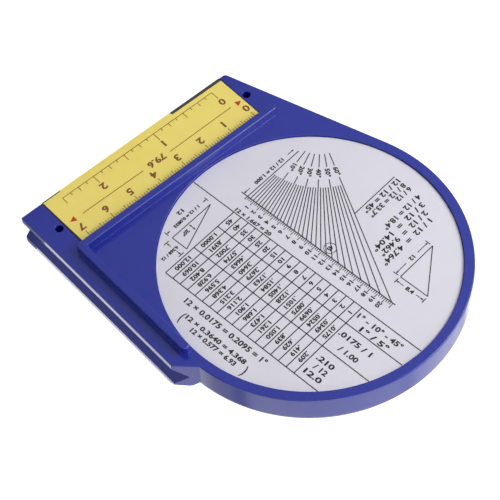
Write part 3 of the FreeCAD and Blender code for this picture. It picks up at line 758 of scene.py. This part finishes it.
def edge_at(offset):
    """Half the label's chord at an offset from its middle, short of its edge."""
    return math.sqrt(LABEL_RADIUS ** 2 - offset ** 2) - 0.2


bar(label, COLUMNS[0], -edge_at(COLUMNS[0]), COLUMNS[0], edge_at(COLUMNS[0]), RULED)
for column in COLUMNS[1:]:
    bar(label, column, TABLE_LOW, column, edge_at(column), RULED)
for row in range(len(ANGLES) + 1):
    height = TABLE_LOW + row * ROW
    bar(label, COLUMNS[0], height, COLUMNS[-1], height, RULED)
for row, angle in enumerate(ANGLES):
    rise = math.tan(math.radians(angle))
    entries = (str(angle), f"{rise:.4f}".lstrip("0"), f"{12 * rise:.3f}".lstrip("0"))
    for entry, x in zip(entries, MIDDLES):
        figures(label, entry, x, TABLE_LOW + (row + 0.5) * ROW, 1.5)
for text, x, y, width in HEADS:
    figures(label, text, x, y, 1.8, 90, width)

# %% [markdown]
# The fan at the left is the same table drawn to scale: lines every 2° from one apex reach
# a ruler at a run of 12 units, and where a line crosses the ruler, the rise is read off.

# %% The fan and its ruler
APEX = Vector((-39.6, -30.8))
RUN = 35.0
UNIT = RUN / 12
RULER = APEX.x + RUN
FROM_APEX, TENS_FROM_APEX, GAP, IN_GAP = 22.8, 9.3, (14.6, 19.6), 17.0      # along a line
bar(label, -29.0, APEX.y, RULER + 1.5, APEX.y)
bar(label, RULER, APEX.y - 2.7, RULER, APEX.y + 21.3 * UNIT, 0.36)
for quarter in range(1, 85):
    height = APEX.y + quarter * UNIT / 4
    bar(label, RULER, height, RULER + (2.1 if quarter % 4 == 0 else 1.1), height, 0.26)
for inch in range(1, 21):
    figures(label, str(inch), RULER + 3.3, APEX.y + inch * UNIT - 0.2, 1.4)
for angle in range(2, 61, 2):
    along = heading(angle)
    reach = RUN / along.x
    tens = angle % 10 == 0       # a longer line, with its figure in a gap
    runs = [(TENS_FROM_APEX, GAP[0]), (GAP[1], reach)] if tens else [(FROM_APEX, reach)]
    for start, end in runs:
        bar(label, *(APEX + along * start), *(APEX + along * end), 0.31)
    if tens:
        figures(label, f"{angle}°", *(APEX + along * IN_GAP), 1.5, angle)

# %% Worked examples and small diagrams
EXAMPLES = (                     # text, middle x and y, digit height, width, turn
    ("1 / 12  =  4.764°", -24.9, 18.9, 1.9, 22.7, 0),
    ("2 / 12  =  9.462°", -26.7, 16.0, 1.9, 22.0, 0),
    ("3 / 12  =  14.04°", -27.5, 13.2, 1.9, 24.0, 0),
    ("4 / 12 = 18.4°", -32.6, 10.3, 1.9, 17.2, 0),
    ("6 / 12", -38.3, 6.1, 1.7, 6.6, 0), ("8 / 12 = 33.7°", -33.1, 3.8, 1.8, 16.8, 0),
    ("12 / 12 = 45°", -33.1, 1.3, 1.8, 16.8, 0),
    ("12 × 0.0175 = 0.2095 = 1°", 36.8, -1.2, 1.9, 34.0, 90),
    ("12 × 0.3640 = 4.368", 40.9, -1.3, 1.6, 24.9, 90),
    ("12 × 0.577 = 6.93", 43.4, -0.1, 1.6, 18.6, 90),
    ("(", 42.3, -14.6, 3.2, 1.0, 90), (")", 43.4, 12.8, 3.2, 1.0, 90),
    ("12 × 1.667 = 20", 1.5, -22.6, 1.35, 15.2, 90),
    ("45", -7.1, 2.4, 1.4, 2.0, 0), ("20°", 18.8, -35.8, 1.3, 2.8, 0),
    ("4.368 / 12", 27.7, -34.0, 1.1, 7.1, 0), ("12", 14.2, -42.7, 1.4, 2.4, 0))
for text, x, y, height, width, turn_deg in EXAMPLES:
    figures(label, text, x, y, height, turn_deg, width)
bar(label, -41.6, -0.6, -22.2, -0.6)
ring(label, -7.1, 2.4, 2.0)
for corners in (((-29.0, 25.8), (-13.5, 25.8), (-13.5, 36.7)),
                ((5.5, -37.6), (23.0, -37.6), (23.0, -31.2))):
    for first, second in zip(corners, corners[1:] + corners[:1]):
        bar(label, *first, *second)
dimension(label, (-29.0, 23.9), (-13.5, 23.9), "12", 5.5, 1.4)
dimension(label, (-11.6, 25.6), (-11.6, 36.7), "8.4", 5.0, 1.4, 90)
dimension(label, (-28.5, -32.5), (-4.6, -32.5), "12 / 12 = 1.000", 18.0, 1.3)
dimension(label, (5.0, -40.0), (23.2, -40.0), "1 / 12 = 0.0833", 15.0, 1.1)
dimension(label, (25.7, -37.6), (25.7, -31.0), "", 2.4)
dimension(label, (15.8, -37.3), (15.8, -34.2), "", 0)
for x, low, high in ((-29.0, 22.9, 24.9), (-13.5, 22.9, 24.9), (5.0, -40.9, -39.1),
                     (23.2, -40.9, -39.1)):
    bar(label, x, low, x, high)
for height, left, right in ((25.7, -12.6, -10.6), (36.8, -12.6, -10.6), (-37.6, 24.6, 26.8),
                            (-31.0, 24.6, 26.8)):
    bar(label, left, height, right, height)

CROOKED = 5.24                   # the sheet's turn, in degrees
printed(label, "label_print", BLACK_INK,
        reader_frame(BACK, (axis_x, label_high.y, axis_z), CROOKED))

# %% [markdown]
# ## The sticker over the magnet
#
# A yellow film hides the magnet and is laid over its face by hand, so its outline is not
# quite square: it is turned by half a degree, and the black magnet shows at both ends of
# its lower edge and beside its end at the groove. It is cut from the outline, and its rim
# gets a tiny round. The print is a pair of rulers, because a scale along the magnet is
# useful to whoever holds it.

# %% The sticker
FILM = 0.15                      # thickness
STICKER = (                      # x from the axis, and height over the base edge
    (26.75, 1.35), (5.6, 1.2), (5.0, 0.05), (-41.0, 0.02), (-41.8, 0.5), (-48.35, 0.5),
    (-48.05, 21.45), (26.75, 22.3))
sticker = plate([(x, BASE + height) for x, height in STICKER], 0, -FILM)
soften(sticker, [e for e in sticker.edges if all_at(e, y=FILM)], 0.05, 2)
magnet_sticker = to_object(sticker, "magnet_sticker", "case", YELLOW_FILM)
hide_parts("magnet_label")

# %% The rulers on it
rulers, marks = bmesh.new(), bmesh.new()
BOLD, DIGIT = 0.12, 2.6
MM_START, MM_LINE, MM_COUNT = -25.0, 20.7, 70
for step in range(MM_COUNT + 1):
    long = 2.3 if step % 10 == 0 else 1.7 if step % 5 == 0 else 1.1
    bar(rulers, MM_START + step, MM_LINE, MM_START + step, MM_LINE - long, 0.22)
for centimetre in range(8):
    figures(rulers, str(centimetre), MM_START + 10 * centimetre, 16.2, DIGIT, bold=BOLD)
INCH, INCH_START, INCH_LINE, EIGHTHS = 25.4, -21.0, 3.2, 20
for step in range(EIGHTHS + 1):
    long = 3.4 if step % 8 == 0 else (2.6, 1.1, 1.7, 1.1)[step % 4]
    x = INCH_START + step * INCH / 8
    bar(rulers, x, INCH_LINE, x, INCH_LINE + long, 0.24)
for inch in range(3):
    figures(rulers, str(inch), INCH_START + inch * INCH, 8.6, DIGIT, bold=BOLD)
bar(rulers, MM_START, MM_LINE, MM_START + MM_COUNT, MM_LINE, 0.22)
bar(rulers, INCH_START, INCH_LINE, INCH_START + EIGHTHS * INCH / 8, INCH_LINE, 0.24)

# The spacing of the pilot holes stands between two lines that point at them.
bar(rulers, -21.5, 12.4, 5.0, 12.6, 0.26)
bar(rulers, 16.5, 12.6, 41.5, 12.4, 0.26)
figures(rulers, "79.6", 10.7, 12.5, 2.4, bold=BOLD)
arrowhead(marks, (-25.9, 12.6), (-1, 0), 2.1, 2.3)
arrowhead(marks, (46.5, 12.3), (1, 0), 2.1, 2.3)
sticker_place = reader_frame(BACK, (axis_x, back_y + FILM * MM, 0))
printed(rulers, "sticker_print", BROWN_INK, sticker_place)
printed(marks, "sticker_marks", RED_INK, sticker_place)

# %% [markdown]
# ## The dial
#
# On the other side a card lies under a clear lens. Its outer scale has a tick for each
# degree and a figure each ten, from 0 on the plumb line to 90 on the level. The inner
# scale gives the same slope as a rise per 12, in red, so that the two are not mixed up.

# %% The dial's print
TICK_END, TENS, FIVES, ONES, DEGREE_DIGITS = 43.6, 40.6, 41.4, 42.2, 38.9   # radii
RISE_START, RISE_END, RISE_DIGITS = 34.9, 36.4, 33.0
dial, pitch_scale = bmesh.new(), bmesh.new()
for degree in range(360):
    along = heading(90 - degree)
    tick = TENS if degree % 10 == 0 else FIVES if degree % 5 == 0 else ONES
    bar(dial, *(along * tick), *(along * TICK_END), 0.24 if degree % 5 == 0 else 0.18)
    if degree % 10 == 0:
        from_plumb = min(degree % 180, 180 - degree % 180)
        figures(dial, str(from_plumb), *(along * DEGREE_DIGITS), 2.1, -degree)
for radius in (36.6, 30.2):
    ring(dial, 0, 0, radius, 0.2, 120)
for quadrant in range(4):
    for rise in range(1, 13):
        lean = math.degrees(math.atan(rise / 12))
        angle = 90 * quadrant + (lean if quadrant % 2 else 90 - lean)
        along = heading(angle)
        bar(pitch_scale, *(along * RISE_START), *(along * RISE_END), 0.22)
        if rise < 7 or rise % 2 == 0:
            figures(pitch_scale, str(rise), *(along * RISE_DIGITS), 1.6, angle - 90)
card_low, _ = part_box("dial_card")
dial_place = reader_frame(FRONT, (axis_x, card_low.y, axis_z))
printed(dial, "dial_print", BLACK_INK, dial_place)
printed(pitch_scale, "dial_pitch_print", RED_INK, dial_place)

# %% [markdown]
# ## Finish: enamel, metals, nylon, ferrite and acrylic
#
# Enamel is a hard gloss paint with a faint orange-peel. Turned brass and steel keep fine
# tool marks round their axis, zinc plating clouds in patches, and the aluminium of the
# rivets has a fine grain. Sintered ferrite is nearly black with a ground grain. The lens
# is cast acrylic: water-clear, with a polish that mirrors the lamps.

# %% Materials of the small parts
def plain(name, dark, light, roughness, grain_mm, depth_mm, ior=1.5, coat=0.0):
    """A solid or a paint whose colour and gloss vary over grains of a real size."""
    material, tree = new_material(name)
    grain = pattern(tree, grain_mm, 3.0)
    close(tree, add(tree, "BsdfPrincipled", sockets={
        "Base Color": blend_colours(tree, grain, dark, light),
        "Roughness": spread(tree, grain, roughness - 0.05, roughness + 0.05),
        "IOR": ior,
        "Coat Weight": coat,
        "Normal": bump(tree, grain, depth_mm, 0.7),
    }))
    return material


def metal(name, dark, light, roughness, grain_mm, stretch=(1, 1, 1), depth_mm=0.004):
    """A bare metal. Stretch makes the grains into tool marks along one way."""
    material, tree = new_material(name)
    grain = pattern(tree, grain_mm, 3.0, stretch)
    close(tree, add(tree, "BsdfPrincipled", sockets={
        "Base Color": blend_colours(tree, grain, dark, light),
        "Metallic": 1.0,
        "Roughness": spread(tree, grain, roughness - 0.05, roughness + 0.05),
        "Normal": bump(tree, grain, depth_mm, 0.6),
    }))
    return material


def cast_acrylic(name):
    """PMMA sheet: no colour of its own, and a polish that dust dulls in faint patches."""
    material, tree = new_material(name)
    clear = add(tree, "BsdfPrincipled", sockets={
        "Base Color": linear("#FAFCFD"),
        "Roughness": spread(tree, pattern(tree, 4.0), 0.01, 0.03),
        "IOR": 1.49,
        "Transmission Weight": 1.0,
    })
    is_shadow = add(tree, "LightPath").outputs["Is Shadow Ray"]      # lamps shine through it
    close(tree, add(tree, "MixShader", sockets={
        0: is_shadow, 1: clear.outputs[0], 2: add(tree, "BsdfTransparent").outputs[0]}))
    return material


FERRITE = plain("ferrite_ground", "#08080A", "#111113", 0.55, 0.25, 0.01, 1.8)
ADHESIVE = plain("acrylic_foam_adhesive", "#B9B5A4", "#C6C3B4", 0.7, 0.4, 0.02)
NYLON = plain("nylon_natural", "#E4E1D6", "#EDEBE2", 0.45, 0.6, 0.005, 1.53)
RED_ENAMEL = plain("enamel_red", "#B3120C", "#C01A12", 0.2, 0.9, 0.01, 1.52, 0.5)
BRASS = metal("brass_turned", "#B8903F", "#D2AE5C", 0.2, 0.3, (1, 8, 1))
PIN_STEEL = metal("silver_steel_turned", "#8E9094", "#A6A8AC", 0.2, 0.2, (1, 8, 1))
ZINC_STEEL = metal("steel_zinc_plated", "#8D9297", "#B4B8BC", 0.36, 2.5)
ALUMINIUM = metal("aluminium_rivet", "#B8BABD", "#D0D2D4", 0.2, 0.4)
ACRYLIC = cast_acrylic("acrylic_cast_clear")

# %% [markdown]
# ## The pointer and its bearing
#
# The pointer is stamped from sheet: a tapering needle, a round middle and a short tail.
# A brass hub is swaged into it, and a heavy sector riveted behind the tail keeps the
# needle up. Stamped and turned edges are never quite sharp, so each gets a small round.

# %% The hub
HUB, PIN = 2.2, 0.75
HUB_BACK, FLANGE_BACK, POINTER_BACK, POINTER_FRONT = 4.5, 6.0, 6.6, 7.2
COLLAR_FRONT, HUB_FRONT = 7.6, 8.4
FLANGE, COLLAR = 4.4, 2.9        # what the hub clamps the pointer between
hub = turned([(HUB_BACK, PIN), (HUB_BACK, HUB), (FLANGE_BACK, HUB), (FLANGE_BACK, FLANGE),
              (POINTER_BACK, FLANGE), (POINTER_BACK, HUB), (POINTER_FRONT, HUB),
              (POINTER_FRONT, COLLAR), (COLLAR_FRONT, COLLAR), (COLLAR_FRONT, HUB),
              (HUB_FRONT, HUB), (HUB_FRONT, PIN)], 96)
outer_rims = [e for e in sharp_edges(hub, 60)
              if any(all_at(e, y=-depth) for depth in (HUB_BACK, FLANGE_BACK, COLLAR_FRONT,
                                                       HUB_FRONT))
              and min(v.co.xz.length for v in e.verts) > PIN + 0.1
              and e.calc_face_angle_signed() > 0]
soften(hub, outer_rims, CRISP, 2)
hub_piece = to_object(hub, "brass_hub", "pendulum", BRASS)

# %% The pointer
RIVET, RIVET_X, RIVET_Z = 1.0, 5.2, -16.5
THROUGH = 12                     # a drill's depth, past every moving piece


def with_rivet_holes(mesh):
    """Drill the two rivet holes."""
    for x in (-RIVET_X, RIVET_X):
        mesh = combine(mesh, turned([(0, 0), (0, RIVET), (THROUGH, RIVET), (THROUGH, 0)], 32,
                                    (x, RIVET_Z)), "DIFFERENCE")
    return mesh


NEEDLE, TIP = 2.418, 0.4         # half the needle's width, at the disc and at its tip
REACH, DISC, TAIL = 37.5, 7.0, 21.0                    # from the axis
TAIL_HALF = 29                   # half the tail's angle, in degrees
shoulder = math.acos(NEEDLE / DISC)
tail_from = math.radians(-90 + TAIL_HALF)
needle_outline = (
    [(-TIP, REACH), *arc(0, 0, DISC, math.pi - shoulder, math.pi - tail_from, 16),
     *arc(0, 0, TAIL, math.pi - tail_from, 2 * math.pi + tail_from, 24),
     *arc(0, 0, DISC, tail_from, shoulder, 16), (TIP, REACH)])
pointer = plate(needle_outline, POINTER_BACK, POINTER_FRONT)
soften(pointer, [e for e in pointer.edges if all_at(e, y=-POINTER_FRONT)], 0.1, 2)
pointer = with_rivet_holes(pointer)
bore = turned([(0, 0), (0, HUB), (THROUGH, HUB), (THROUGH, 0)], 96)
pointer = combine(pointer, bore, "DIFFERENCE")
pointer_piece = to_object(pointer, "red_pointer", "pendulum", RED_ENAMEL)


# %% The counterweight and its rivets
def sector(inner, outer, half_angle, steps):
    """Outline of a ring sector that hangs below the axis."""
    low, high = math.radians(-90 - half_angle), math.radians(-90 + half_angle)
    return arc(0, 0, outer, low, high, steps) + arc(0, 0, inner, high, low, steps)


WEIGHT_BACK = 4.6
weight = plate(sector(9.0, 24.0, 45, 32), WEIGHT_BACK, POINTER_BACK)
soften(weight, sharp_edges(weight, 60), 0.25, 3)
weight_piece = to_object(with_rivet_holes(weight), "steel_weight", "pendulum",
                         ZINC_STEEL)

# The head is a low dome, as the set leaves it.
HEAD = ((POINTER_FRONT, 1.9), (7.35, 1.86), (7.5, 1.66), (7.65, 1.3), (7.75, 0.75), (7.8, 0))
rivets = turned([(WEIGHT_BACK, 0), (WEIGHT_BACK, RIVET), (POINTER_FRONT, RIVET), *HEAD], 32,
                (RIVET_X, RIVET_Z))
twin = bmesh.ops.duplicate(rivets, geom=rivets.verts[:] + rivets.edges[:] + rivets.faces[:])
bmesh.ops.translate(rivets, vec=(-2 * RIVET_X, 0, 0),
                    verts=[v for v in twin["geom"] if isinstance(v, bmesh.types.BMVert)])
rivet_piece = to_object(rivets, "tail_rivets", "pendulum", ALUMINIUM)

# %% [markdown]
# ## The lens and its snap ring
#
# The lens is moulded in one with a boss for the front bush. The bush sits in it with a
# hair of clearance: two surfaces in exactly one place would hide each other. A black ring
# snaps into the bezel over it, and its bevel leads the eye down to the dial.

# %% The lens
LENS_FRONT, LENS_EDGE, LENS_BOSS, BOSS_END, SOCKET = 12.0, SEAT - 0.2, 3.0, 9.1, 11.3
HAIR = 0.02
lens = turned([(SOCKET + HAIR, 0), (SOCKET + HAIR, BUSH + HAIR), (BOSS_END, BUSH + HAIR),
               (BOSS_END, LENS_BOSS), (LENS_BACK + HAIR, LENS_BOSS),
               (LENS_BACK + HAIR, LENS_EDGE), (LENS_FRONT - HAIR, LENS_EDGE),
               (LENS_FRONT - HAIR, 0)], 120)
soften(lens, [e for e in lens.edges if min(v.co.xz.length for v in e.verts) > LENS_EDGE - 0.01
              and e.calc_face_angle() > 1], 0.1, 2)
lens_piece = to_object(lens, "clear_lens", "case", ACRYLIC)

# %% The snap ring
OPENING, RING_BEVEL = 44.2, 0.6
snap_ring = turned([(LENS_FRONT, OPENING), (LENS_FRONT, SEAT), (CASE_DEPTH, SEAT),
                    (CASE_DEPTH, OPENING + RING_BEVEL), (CASE_DEPTH - RING_BEVEL, OPENING)])
soften(snap_ring, [e for e in snap_ring.edges if all_at(e, y=-CASE_DEPTH)], CRISP, 2)
ring_piece = to_object(snap_ring, "snap_ring", "case", BLACK_ABS)

for piece, node in ((hub_piece, "pointer_hub"), (pointer_piece, "pointer"),
                    (weight_piece, "counterweight"), (rivet_piece, "weight_rivets"),
                    (lens_piece, "lens"), (ring_piece, "lens_ring")):
    smooth_by_angle(piece)
    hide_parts(node)
    print(f"{piece.name}: {len(piece.data.polygons)} faces")

# %% [markdown]
# ## Parts that stay as the CAD has them
#
# The label, the magnet, the dial card, the bushes, the washers and the pin are already as
# plain as the real ones. They keep their shape, and only get their material.

# %% Finishes of the CAD parts
FINISHES = {
    "back_label": LABEL_PAPER, "magnet_tape": ADHESIVE, "ceramic_magnet": FERRITE,
    "dial_card": DIAL_PAPER, "rear_bush": BRASS, "front_bush": BRASS,
    "rear_washer": NYLON, "front_washer": NYLON, "pivot_pin": PIN_STEEL,
}
for node, material in FINISHES.items():
    frame["nodes"][node].material_slots[0].material = material

# %% View transform
bpy.context.scene.view_settings.view_transform = "Standard"
